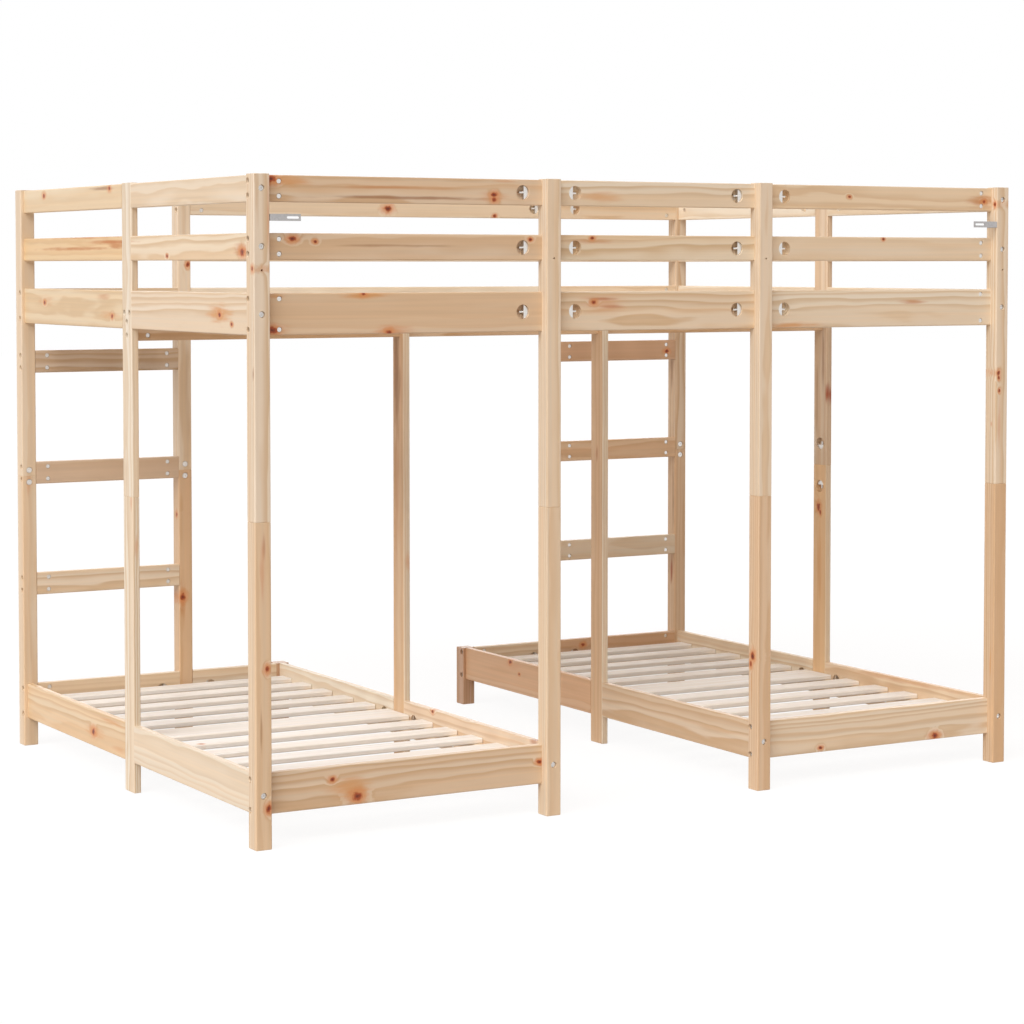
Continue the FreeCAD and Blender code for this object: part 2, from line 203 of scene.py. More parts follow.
@dataclass(frozen=True)
class Knot:
    """A branch through a board: its middle and its radius in millimetres, and the way it goes through."""

    place: Place
    radius: float
    through: Axis = Axis.Y


@dataclass(frozen=True)
class Streak:
    """A soft stain along the fibres, and in a few places painted shade laid the same way: its middle, half length
    and half width in millimetres, and its share.
    """

    place: Place
    length: float
    width: float
    stain: StainAndShade
    share: float
    through: Axis = Axis.Y


@dataclass(frozen=True)
class Cast:
    """A deeper board, or painted shade on whole boards or on every face of a board but its front: what its colour
    is multiplied by, and its limits in millimetres.
    """

    colour: str
    limits: dict[Axis, tuple[float, float]]


@dataclass(frozen=True)
class Figure:
    """What marks the boards of a node: tone, knots, stains and some painted shade along the fibres, deeper boards
    and painted shade, and the share of chance knots.
    """

    tone: Tone = Tone.BUFF
    knots: tuple[Knot, ...] = ()
    streaks: tuple[Streak, ...] = ()
    casts: tuple[Cast, ...] = ()
    chance_knots: float = 0.02


@dataclass(frozen=True)
class PlanedPine:
    """Planed, untreated pine.

    Planing leaves a flat, matt face. The eye sees pale earlywood with soft, darker latewood lines that run
    along the board or close into long arches, salmon bands across groups of years, and small red-brown
    knots with an orange rim.
    """

    name: str
    knot_rim: str = "#D98F56"
    knot_wood: str = "#A8481E"
    knot_heart: str = "#571D0E"
    ring: float = 9.0
    contrast: float = 0.95
    band_share: float = 0.75
    band_width: float = 24.0
    roughness: float = 0.46
    pith_depth: tuple[float, float] = (45.0, 120.0)
    pith_side: float = 70.0
    wander: float = 34.0
    wander_length: float = 1200.0
    ripple: float = 9.0
    drift_width: float = 250.0
    ripple_cell: tuple[float, float] = (166.7, 29.41)
    growth_width: float = 20.0
    branch_step: float = 210.0
    branch_radius: float = 7.0
    knot_bend: float = 8.0
    knot_edge: float = 11.11
    knot_ragged: float = 1.5
    knot_ring_rate: float = 22.0
    knot_ring_depth: float = 0.06
    streak_ragged: float = 1.2
    streak_cell: tuple[float, float] = (71.43, 9.091)
    # Fibres of 8 mm in colour and 2.5 mm in relief: the real ones are finer than a pixel of the render.
    fibre_cell: tuple[float, float] = (625.0, 8.333)
    relief_cell: tuple[float, float] = (83.33, 2.5)
    relief: float = 0.3
    roughness_spread: float = 0.08
    ior: float = 1.5

    def material(self, node: str, lay: Lay, figure: Figure, seed: int) -> bpy.types.Material:
        """Make the wood of one node.

        Args:
            node: name of the CAD node, for its box and the material's name.
            lay: how its boards lie.
            figure: what marks its boards.
            seed: number that sets this node's boards apart from the others.

        Returns:
            The material.
        """
        material = empty_material(f"{self.name}_{node}")
        tree = material.node_tree
        point = add_node(tree, "TexCoord")["Object"]
        board, chance = self.board_space(tree, point, node, lay, seed)
        knot = self.knot_distance(tree, point, board, chance, lay, figure)
        radius = self.ring_radius(tree, board, chance, knot)
        late = self.latewood_share(tree, radius, chance)
        wood = self.wood_colour(tree, board, chance, radius, late, figure.tone)
        wood = self.deepened_and_shaded(tree, point, wood, figure.casts)
        wood = self.stained_and_shaded(tree, point, board, wood, lay, figure.streaks)
        wood = self.knotted(tree, wood, knot)
        self.surface(tree, board, late, wood)
        return material

    def board_space(self, tree: Tree, point: Socket, node: str, lay: Lay, seed: int) -> tuple[Socket, Socket]:
        """Turn a point of the frame into a point of its own board.

        Args:
            tree: node tree of the wood.
            point: place in the frame.
            node: name of the CAD node.
            lay: how its boards lie.
            seed: number of the node.

        Returns:
            Place along, across and through the board, in metres from its middle, and three chances of the board.
        """
        low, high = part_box(node)
        first = [(low[i] + high[i]) / 2 for i in range(3)]
        step = [FAR_APART] * 3
        for axis, row in lay.rows.items():
            first[axis.value], step[axis.value] = row.first, row.step
        seeds = tuple(seed * part for part in SEED_STEPS)
        number_start = seeds
        if lay.mirrored:
            side = add_node(tree, "VectorMath", {0: point}, operation="SIGN")[0]
            number_start = add_node(tree, "VectorMath", {0: side, 1: seeds}, operation="ADD")[0]
            point = add_node(tree, "VectorMath", {0: point}, operation="ABSOLUTE")[0]
        steps = add_node(
            tree, "VectorMath",
            {0: point, 1: [1 / s for s in step], 2: [0.5 - f / s for f, s in zip(first, step)]},
            operation="MULTIPLY_ADD",
        )[0]
        number = add_node(tree, "VectorMath", {0: steps}, operation="FLOOR")[0]
        number = add_node(tree, "VectorMath", {0: number, 1: number_start}, operation="ADD")[0]
        chance = add_node(tree, "TexWhiteNoise", {"Vector": number})["Color"]
        share = add_node(tree, "VectorMath", {0: steps}, operation="FRACTION")[0]
        own = add_node(
            tree, "VectorMath", {0: share, 1: step, 2: [-s / 2 for s in step]}, operation="MULTIPLY_ADD"
        )[0]
        parts = add_node(tree, "SeparateXYZ", {0: own})
        order = (lay.grain, lay.across, lay.face)
        board = add_node(tree, "CombineXYZ", {i: parts[axis.value] for i, axis in enumerate(order)})
        return board[0], chance

    def distance_to(self, tree: Tree, point: Socket, place: Place, halves: dict[Axis, float]) -> Socket:
        """Distance from a mark in the wood, one at its edge.

        Args:
            tree: node tree of the wood.
            point: place in the frame.
            place: middle of the mark, in millimetres.
            halves: half of its size along each axis, in millimetres.

        Returns:
            The distance.
        """
        shape = [1 / (halves[axis] * MM) for axis in Axis]
        middle = [-s * p * MM for s, p in zip(shape, place)]
        offset = add_node(tree, "VectorMath", {0: point, 1: shape, 2: middle}, operation="MULTIPLY_ADD")[0]
        return add_node(tree, "VectorMath", {0: offset}, operation="LENGTH")["Value"]

    def knot_distance(
        self, tree: Tree, point: Socket, board: Socket, chance: Socket, lay: Lay, figure: Figure
    ) -> Socket:
        """Distance to the nearest knot's middle, in knot radii.

        Args:
            tree: node tree of the wood.
            point: place in the frame.
            board: place in the board.
            chance: chances of the board.
            lay: how the boards lie.
            figure: what marks the boards.

        Returns:
            The distance.
        """
        scale = 1000 / self.branch_step
        place = add_node(
            tree, "VectorMath", {0: chance, 1: (SEED_SPREAD,) * 3, 2: board}, operation="MULTIPLY_ADD"
        )[0]
        flat = add_node(tree, "VectorMath", {0: place, 1: (1, 1, 0)}, operation="MULTIPLY")[0]
        branch = add_node(tree, "TexVoronoi", {"Vector": flat, "Scale": scale}, voronoi_dimensions="2D")
        size = add_node(tree, "SeparateColor", {0: branch["Color"]})[0]
        reach = self.branch_radius * MM * scale
        radius = add_node(
            tree, "MapRange",
            {"Value": size, "From Min": 1 - figure.chance_knots, "To Min": 0.001 * reach, "To Max": reach},
        )[0]
        nearest = add_node(tree, "Math", {0: branch["Distance"], 1: radius}, operation="DIVIDE")[0]
        for knot in figure.knots:
            halves = {axis: BRANCH_DEPTH if axis is knot.through else knot.radius for axis in Axis}
            halves[lay.grain] *= KNOT_STRETCH
            distance = self.distance_to(tree, point, knot.place, halves)
            nearest = add_node(tree, "Math", {0: nearest, 1: distance}, operation="MINIMUM")[0]
        uneven = add_node(tree, "TexNoise", {"Vector": board, "Scale": 1000 / self.knot_edge, "Detail": 2.0})[0]
        uneven = add_node(
            tree, "Math", {0: uneven, 1: self.knot_ragged, 2: -self.knot_ragged / 2}, operation="MULTIPLY_ADD"
        )[0]
        return add_node(tree, "Math", {0: nearest, 1: uneven}, operation="ADD")[0]

    def ring_radius(self, tree: Tree, board: Socket, chance: Socket, knot: Socket) -> Socket:
        """Distance from the tree's pith, which wanders along the board; the rings bend round knots.

        Args:
            tree: node tree of the wood.
            board: place in the board.
            chance: chances of the board.
            knot: distance to the nearest knot, in knot radii.

        Returns:
            The distance in metres.
        """
        seeds = add_node(tree, "VectorMath", {0: chance, 1: (SEED_SPREAD,) * 3}, operation="MULTIPLY")[0]
        run = add_node(
            tree, "VectorMath", {0: board, 1: cells(self.wander_length, self.drift_width), 2: seeds},
            operation="MULTIPLY_ADD",
        )[0]
        drift = add_node(tree, "TexNoise", {"Vector": run, "Scale": 1.0, "Detail": 2.5, "Roughness": 0.4})["Color"]
        reach = self.wander * MM
        moved = add_node(
            tree, "VectorMath", {0: drift, 1: (0, reach, reach), 2: board}, operation="MULTIPLY_ADD"
        )[0]
        low, high = (depth * MM for depth in self.pith_depth)
        side = self.pith_side * MM
        pith = add_node(
            tree, "VectorMath",
            {0: chance, 1: (0, side, high - low), 2: (0, -(side + reach) / 2, low - reach / 2)},
            operation="MULTIPLY_ADD",
        )[0]
        ripple_place = add_node(
            tree, "VectorMath", {0: board, 1: cells(*self.ripple_cell), 2: seeds}, operation="MULTIPLY_ADD"
        )[0]
        ripple = add_node(tree, "TexNoise", {"Vector": ripple_place, "Scale": 1.0, "Detail": 1.5})["Color"]
        moved = add_node(
            tree, "VectorMath", {0: ripple, 1: (0, self.ripple * MM, self.ripple * MM), 2: moved},
            operation="MULTIPLY_ADD",
        )[0]
        spoke = add_node(tree, "VectorMath", {0: moved, 1: pith}, operation="ADD")[0]
        spoke = add_node(tree, "VectorMath", {0: spoke, 1: (0, 1, 1)}, operation="MULTIPLY")[0]
        radius = add_node(tree, "VectorMath", {0: spoke}, operation="LENGTH")["Value"]
        bend = add_node(
            tree, "MapRange",
            {"Value": knot, "From Min": 0.6, "From Max": 4.2, "To Min": self.knot_bend * MM, "To Max": 0.0},
            interpolation_type="SMOOTHERSTEP",
        )[0]
        return add_node(tree, "Math", {0: radius, 1: bend}, operation="ADD")[0]

    def latewood_share(self, tree: Tree, radius: Socket, chance: Socket) -> Socket:
        """Share of dark latewood: it builds up softly through each year's ring and stops sooner.

        Args:
            tree: node tree of the wood.
            radius: distance from the pith.
            chance: chances of the board.

        Returns:
            Zero in earlywood, up to one in latewood.
        """
        seed = add_node(tree, "SeparateColor", {0: chance})[2]
        years = add_node(tree, "Math", {0: seed, 1: SEED_SPREAD, 2: radius}, operation="MULTIPLY_ADD")[0]
        growth = add_node(
            tree, "TexNoise", {"W": years, "Scale": 1000 / self.growth_width, "Detail": 1.0}, noise_dimensions="1D"
        )[0]
        rings = add_node(tree, "Math", {0: radius, 1: 1000 / self.ring, 2: growth}, operation="MULTIPLY_ADD")[0]
        season = add_node(tree, "Math", {0: rings}, operation="FRACT")[0]
        summer = add_node(
            tree, "MapRange", {"Value": season, "From Min": 0.2, "From Max": 0.82}, interpolation_type="SMOOTHSTEP"
        )[0]
        stop = add_node(
            tree, "MapRange",
            {"Value": season, "From Min": 0.84, "From Max": 1.0, "To Min": 1.0, "To Max": 0.0},
            interpolation_type="SMOOTHSTEP",
        )[0]
        return add_node(tree, "Math", {0: summer, 1: stop}, operation="MULTIPLY")[0]

    def wood_colour(
        self, tree: Tree, board: Socket, chance: Socket, radius: Socket, late: Socket, tone: Tone
    ) -> Socket:
        """Colour of the clear wood between the knots.

        Args:
            tree: node tree of the wood.
            board: place in the board.
            chance: chances of the board.
            radius: distance from the pith.
            late: share of latewood.
            tone: colours of the board.

        Returns:
            The colour.
        """
        earlywood, latewood, band_tone = (linear(colour) for colour in tone.value)
        chances = add_node(tree, "SeparateColor", {0: chance})
        seeds = add_node(tree, "VectorMath", {0: chance, 1: (SEED_SPREAD,) * 3}, operation="MULTIPLY")[0]
        strength = add_node(
            tree, "MapRange", {"Value": chances[1], "To Min": 0.5 * self.contrast, "To Max": self.contrast}
        )[0]
        lines = add_node(tree, "Math", {0: late, 1: strength}, operation="MULTIPLY")[0]
        wood = add_node(tree, "Mix", {0: lines, 6: earlywood, 7: latewood}, data_type="RGBA")[2]
        fibre_place = add_node(
            tree, "VectorMath", {0: board, 1: cells(*self.fibre_cell), 2: seeds}, operation="MULTIPLY_ADD"
        )[0]
        fibre = add_node(tree, "TexNoise", {"Vector": fibre_place, "Scale": 1.0, "Detail": 3.0})[0]
        # Salmon bands follow groups of years, so they run with the rings.
        band_place = add_node(tree, "Math", {0: chances[0], 1: SEED_SPREAD, 2: radius}, operation="MULTIPLY_ADD")[0]
        band = add_node(
            tree, "TexNoise", {"W": band_place, "Scale": 1000 / self.band_width, "Detail": 0.5},
            noise_dimensions="1D",
        )[0]
        band = add_node(tree, "Math", {0: fibre, 1: 0.35, 2: band}, operation="MULTIPLY_ADD")[0]
        salmon = add_node(
            tree, "MapRange",
            {"Value": band, "From Min": 0.5, "From Max": 0.9, "To Max": self.band_share},
            interpolation_type="SMOOTHSTEP",
        )[0]
        wood = add_node(tree, "Mix", {0: salmon, 6: wood, 7: band_tone}, data_type="RGBA")[2]
        light = add_node(
            tree, "MapRange", {"Value": fibre, "From Min": 0.25, "From Max": 0.75, "To Min": 0.93, "To Max": 1.05}
        )[0]
        return add_node(tree, "VectorMath", {0: wood, "Scale": light}, operation="SCALE")[0]

    def deepened_and_shaded(self, tree: Tree, point: Socket, wood: Socket, casts: tuple[Cast, ...]) -> Socket:
        """Deepen the boards that are darker or redder than the others of their node, and paint shade on boards and
        faces that lie in shade.

        Args:
            tree: node tree of the wood.
            point: place in the frame.
            wood: colour of the wood.
            casts: the deeper boards and the painted shade.

        Returns:
            The new colour.
        """
        if not casts:
            return wood
        places = add_node(tree, "SeparateXYZ", {0: point})
        for cast in casts:
            inside = 1.0
            for axis, (low, high) in cast.limits.items():
                within = add_node(
                    tree, "Math",
                    {0: places[axis.value], 1: (low + high) / 2 * MM, 2: (high - low) / 2 * MM},
                    operation="COMPARE",
                )[0]
                inside = add_node(tree, "Math", {0: within, 1: inside}, operation="MULTIPLY")[0]
            wood = add_node(
                tree, "Mix", {0: inside, 6: wood, 7: linear(cast.colour)}, data_type="RGBA", blend_type="MULTIPLY"
            )[2]
        return wood

    def stained_and_shaded(
        self, tree: Tree, point: Socket, board: Socket, wood: Socket, lay: Lay, streaks: tuple[Streak, ...]
    ) -> Socket:
        """Lay streaks along the wood's fibres: stains, and in a few places painted shade.

        Args:
            tree: node tree of the wood.
            point: place in the frame.
            board: place in the board.
            wood: colour of the wood.
            lay: how the boards lie.
            streaks: the stains and the painted shade.

        Returns:
            The new colour.
        """
        if not streaks:
            return wood
        ragged_place = add_node(tree, "VectorMath", {0: board, 1: cells(*self.streak_cell)}, operation="MULTIPLY")[0]
        ragged = add_node(tree, "TexNoise", {"Vector": ragged_place, "Scale": 1.0, "Detail": 2.0})[0]
        for streak in streaks:
            halves = {axis: BRANCH_DEPTH if axis is streak.through else streak.width for axis in Axis}
            halves[lay.grain] = streak.length
            distance = self.distance_to(tree, point, streak.place, halves)
            edge = add_node(
                tree, "Math", {0: ragged, 1: self.streak_ragged, 2: distance}, operation="MULTIPLY_ADD"
            )[0]
            share = add_node(
                tree, "MapRange",
                {"Value": edge, "From Min": 0.7, "From Max": 1.7, "To Min": streak.share, "To Max": 0.0},
                interpolation_type="SMOOTHSTEP",
            )[0]
            wood = add_node(tree, "Mix", {0: share, 6: wood, 7: linear(streak.stain.value)}, data_type="RGBA")[2]
        return wood

    def knotted(self, tree: Tree, wood: Socket, knot: Socket) -> Socket:
        """Lay the knots' rim, wood and heart over the clear wood; a knot has narrow rings of its own.

        Args:
            tree: node tree of the wood.
            wood: colour of the wood.
            knot: distance to the nearest knot, in knot radii.

        Returns:
            The new colour.
        """
        wave = add_node(tree, "Math", {0: knot, 1: self.knot_ring_rate}, operation="MULTIPLY")[0]
        wave = add_node(tree, "Math", {0: wave}, operation="SINE")[0]
        ringed = add_node(tree, "Math", {0: wave, 1: self.knot_ring_depth, 2: knot}, operation="MULTIPLY_ADD")[0]
        for inner, outer, share, tone in (
            (0.9, 3.0, 0.75, self.knot_rim),
            (0.7, 1.25, 0.9, self.knot_wood),
            (0.1, 0.8, 0.85, self.knot_heart),
        ):
            within = add_node(
                tree, "MapRange",
                {"Value": ringed, "From Min": inner, "From Max": outer, "To Min": share, "To Max": 0.0},
                interpolation_type="SMOOTHSTEP",
            )[0]
            wood = add_node(tree, "Mix", {0: within, 6: wood, 7: linear(tone)}, data_type="RGBA")[2]
        return wood

    def surface(self, tree: Tree, board: Socket, late: Socket, colour: Socket) -> None:
        """Join the colour to a matt surface whose latewood stands a hair proud.

        Args:
            tree: node tree of the wood.
            board: place in the board.
            late: share of latewood.
            colour: colour of the wood.
        """
        fibre_place = add_node(tree, "VectorMath", {0: board, 1: cells(*self.relief_cell)}, operation="MULTIPLY")[0]
        fibre = add_node(tree, "TexNoise", {"Vector": fibre_place, "Scale": 1.0, "Detail": 2.0})[0]
        height = add_node(tree, "Math", {0: late, 1: 0.5, 2: fibre}, operation="MULTIPLY_ADD")[0]
        bump = add_node(tree, "Bump", {"Strength": 0.25, "Distance": self.relief * MM, "Height": height})[0]
        low, high = self.roughness - self.roughness_spread, self.roughness + self.roughness_spread
        rough = add_node(tree, "MapRange", {"Value": fibre, "To Min": low, "To Max": high})[0]
        shader = add_node(
            tree, "BsdfPrincipled", {"Base Color": colour, "Roughness": rough, "Normal": bump, "IOR": self.ior}
        )[0]
        add_node(tree, "OutputMaterial", {"Surface": shader})


@dataclass(frozen=True)
class PlatedSteel:
    """Steel with a zinc coat: grey, with a slight mottle where the crystals of zinc meet."""

    name: str
    light: str
    dark: str
    roughness: float
    crystal: float
    roughness_spread: float = 0.05

    def material(self) -> bpy.types.Material:
        """Make the metal.

        Returns:
            The material.
        """
        material = empty_material(self.name)
        tree = material.node_tree
        point = add_node(tree, "TexCoord")["Object"]
        crystals = add_node(tree, "TexVoronoi", {"Vector": point, "Scale": 1000 / self.crystal})["Color"]
        tone = add_node(tree, "SeparateColor", {0: crystals})[0]
        colour = add_node(tree, "Mix", {0: tone, 6: linear(self.light), 7: linear(self.dark)}, data_type="RGBA")[2]
        low, high = self.roughness - self.roughness_spread, self.roughness + self.roughness_spread
        rough = add_node(tree, "MapRange", {"Value": tone, "To Min": low, "To Max": high})[0]
        shader = add_node(tree, "BsdfPrincipled", {"Base Color": colour, "Roughness": rough, "Metallic": 1.0})[0]
        add_node(tree, "OutputMaterial", {"Surface": shader})
        return material


# Square-sawn rails, guards and rungs: the widest faces, with the clearest arches.
BOARD_PINE = PlanedPine("planed_pine")
# Posts are cut near the heart of the plank, so their lines run straight and close.
POST_PINE = PlanedPine("planed_pine_post", ring=8.0, wander=20.0, wander_length=1600.0)
# Slats are sapwood: nearly white, with little figure.
SLAT_PINE = PlanedPine("planed_pine_slat", contrast=0.7, roughness=0.66)
# Bright zinc shows as pale, clean grey discs.
BRIGHT_ZINC = PlatedSteel("bright_zinc_plated_steel", "#E8E4E0", "#D6D2CD", 0.34, 1.2)
# Polished zinc gives the sunk bolt heads a bright face with a dark rim where they mirror their bores.
POLISHED_ZINC = PlatedSteel("polished_zinc_plated_steel", "#DAD6D2", "#BDB9B5", 0.26, 1.2)
# Galvanised sheet is a smooth, neutral grey; its crystals barely show.
GALVANISED = PlatedSteel("galvanised_sheet_steel", "#BAB6B5", "#B0ADAC", 0.40, 4.0)


@dataclass
class Uprights:
    """Posts, mid boards and short legs; sizes in millimetres."""

    post_width: float = 38.0
    mid_board: float = 18.0
    singles: tuple[str, ...] = ("wall_corner_post", "ladder_corner_post")
    pairs: tuple[str, ...] = ("wall_inner_posts", "ladder_inner_posts")
    figures: dict[str, Figure] = field(default_factory=lambda: {
        "wall_corner_post_left_lower": Figure(
            Tone.BUFF,
            (Knot((-1006, -727, 89), 6), Knot((-1009, -727, 390), 5)),
            (
                Streak((-1023, -727, 259), 60, 3, StainAndShade.BROWN, 0.5),
                Streak((-1015, -727, 650), 36, 5, StainAndShade.RED, 0.5),
                Streak((-1018, -727, 600), 70, 8, StainAndShade.SALMON, 0.8),
            ),
        ),
        "wall_corner_post_left_upper": Figure(
            Tone.CREAM,
            (Knot((-1017, -738, 1247), 4, Axis.X),),
            (
                Streak((-1002, -727, 1360), 110, 4, StainAndShade.SALMON, 0.7),
                Streak((-1017, -741, 1022), 18, 4, StainAndShade.BROWN, 0.8, Axis.X),
            ),
        ),
        "wall_corner_post_right_lower": Figure(
            Tone.RUSSET, (), (Streak((1017, -734, 256), 50, 5, StainAndShade.AMBER, 0.6, Axis.X),)
        ),
        "wall_corner_post_right_upper": Figure(
            Tone.CREAM,
            (
                Knot((1017, -738, 1407), 4, Axis.X),
                Knot((1007, -727, 985), 4.5),
                Knot((1008, -727, 974), 3.5),
                Knot((1010, -727, 941), 3),
            ),
            (
                Streak((1017, -731, 857), 10, 5, StainAndShade.SALMON, 0.8, Axis.X),
                Streak((1010, -727, 860), 90, 6, StainAndShade.SALMON, 0.6),
            ),
        ),
        "wall_inner_posts_lower": Figure(
            Tone.BUFF,
            (Knot((293, -725, 322), 7, Axis.X), Knot((293, -717, 302), 5, Axis.X)),
            (Streak((293, -720, 250), 60, 4, StainAndShade.AMBER, 0.5, Axis.X),),
            (Cast("#F9F0E8", {Axis.X: (0, 600)}),),
        ),
        "wall_inner_posts_upper": Figure(Tone.CREAM),
        "ladder_corner_post_left_lower": Figure(
            Tone.BUFF, (), (Streak((-1020, 727, 690), 40, 8, StainAndShade.SALMON, 0.6),)
        ),
        "ladder_corner_post_left_upper": Figure(Tone.CREAM),
        "ladder_corner_post_right_lower": Figure(
            Tone.RUSSET,
            (),
            (
                Streak((1017, 724, 345), 50, 8, StainAndShade.RED, 0.85, Axis.X),
                Streak((1017, 716, 560), 120, 6, StainAndShade.BROWN, 0.5, Axis.X),
            ),
        ),
        "ladder_corner_post_right_upper": Figure(
            Tone.TAN, (), (Streak((1017, 725, 940), 90, 8, StainAndShade.BROWN, 0.7, Axis.X),)
        ),
        "ladder_inner_posts_lower": Figure(
            Tone.RUSSET,
            (Knot((-588, 727, 363), 7), Knot((-579, 722, 586), 4.5, Axis.X)),
            (Streak((-588, 727, 350), 60, 9, StainAndShade.RUST, 0.6),),
        ),
        "ladder_inner_posts_upper": Figure(Tone.CREAM, (Knot((-568, 727, 1258), 5),)),
        "end_mid_posts_lower": Figure(
            Tone.PALE,
            (Knot((1017, 5, 590), 7, Axis.X), Knot((1017, -3, 575), 4, Axis.X)),
            (
                Streak((1017, 0, 430), 150, 12, StainAndShade.AMBER, 0.5, Axis.X),
                Streak((-1017, 0, 590), 36, 7, StainAndShade.SALMON, 0.8),
                Streak((-1017, -20, 694), 30, 8, StainAndShade.SALMON, 0.7, Axis.X),
            ),
            # Painted shade: on the right board every face but the front is darkened.
            (Cast("#FFECD3", {Axis.X: (0, 1100), Axis.Y: (-27, 40)}),),
        ),
        "end_mid_posts_upper": Figure(
            Tone.PALE,
            (),
            (
                Streak((1017, -30, 902), 34, 9, StainAndShade.RED, 0.95, Axis.X),
                Streak((1017, -12, 1010), 130, 8, StainAndShade.BROWN, 0.6, Axis.X),
                Streak((1017, 14, 900), 110, 6, StainAndShade.BROWN, 0.5, Axis.X),
            ),
            (Cast("#F0E5DC", {Axis.X: (0, 1100)}),),
        ),
        # Painted shade: the cast darkens every face but the front, and the brown and rust streaks darken the left
        # board's side faces under the upper bed.
        "bed_mid_posts": Figure(
            Tone.PALE,
            (),
            (
                Streak((291, -1, 762), 26, 8, StainAndShade.RED, 0.45, Axis.X),
                # These two streaks are painted shade of the upper bed on the left board's side faces, deepest at
                # the top.
                Streak((-291, 8, 980), 200, 22, StainAndShade.BROWN, 0.85, Axis.X),
                Streak((-291, 8, 680), 260, 16, StainAndShade.RUST, 0.4, Axis.X),
                Streak((-291, 0, 512), 34, 10, StainAndShade.SALMON, 0.6),
            ),
            # Painted shade: every face but the front is darkened.
            (Cast("#F3DFCB", {Axis.Y: (-27, 40)}),),
        ),
        "short_legs": Figure(Tone.UMBER),
    })

    def dress(self, seed: int) -> int:
        """Give every upright its wood.

        Args:
            seed: first free seed.

        Returns:
            Next free seed.
        """
        lays: dict[str, Lay] = {}
        for half in ("lower", "upper"):
            for side in Side:
                for name in self.singles:
                    lays[f"{name}_{side.value}_{half}"] = Lay(Axis.Z, Axis.Y)
            for name in self.pairs:
                node = f"{name}_{half}"
                lays[node] = Lay(Axis.Z, Axis.Y, {Axis.X: Row.spread(node, Axis.X, 2, self.post_width)})
            node = f"end_mid_posts_{half}"
            lays[node] = Lay(Axis.Z, Axis.X, {Axis.X: Row.spread(node, Axis.X, 2, self.mid_board)})
        for node, width in (("bed_mid_posts", self.mid_board), ("short_legs", self.post_width)):
            lays[node] = Lay(Axis.Z, Axis.X, {Axis.X: Row.spread(node, Axis.X, 2, width)})
        for node, lay in lays.items():
            dress(node, POST_PINE.material(node, lay, self.figures[node], seed))
            seed += 1
        return seed


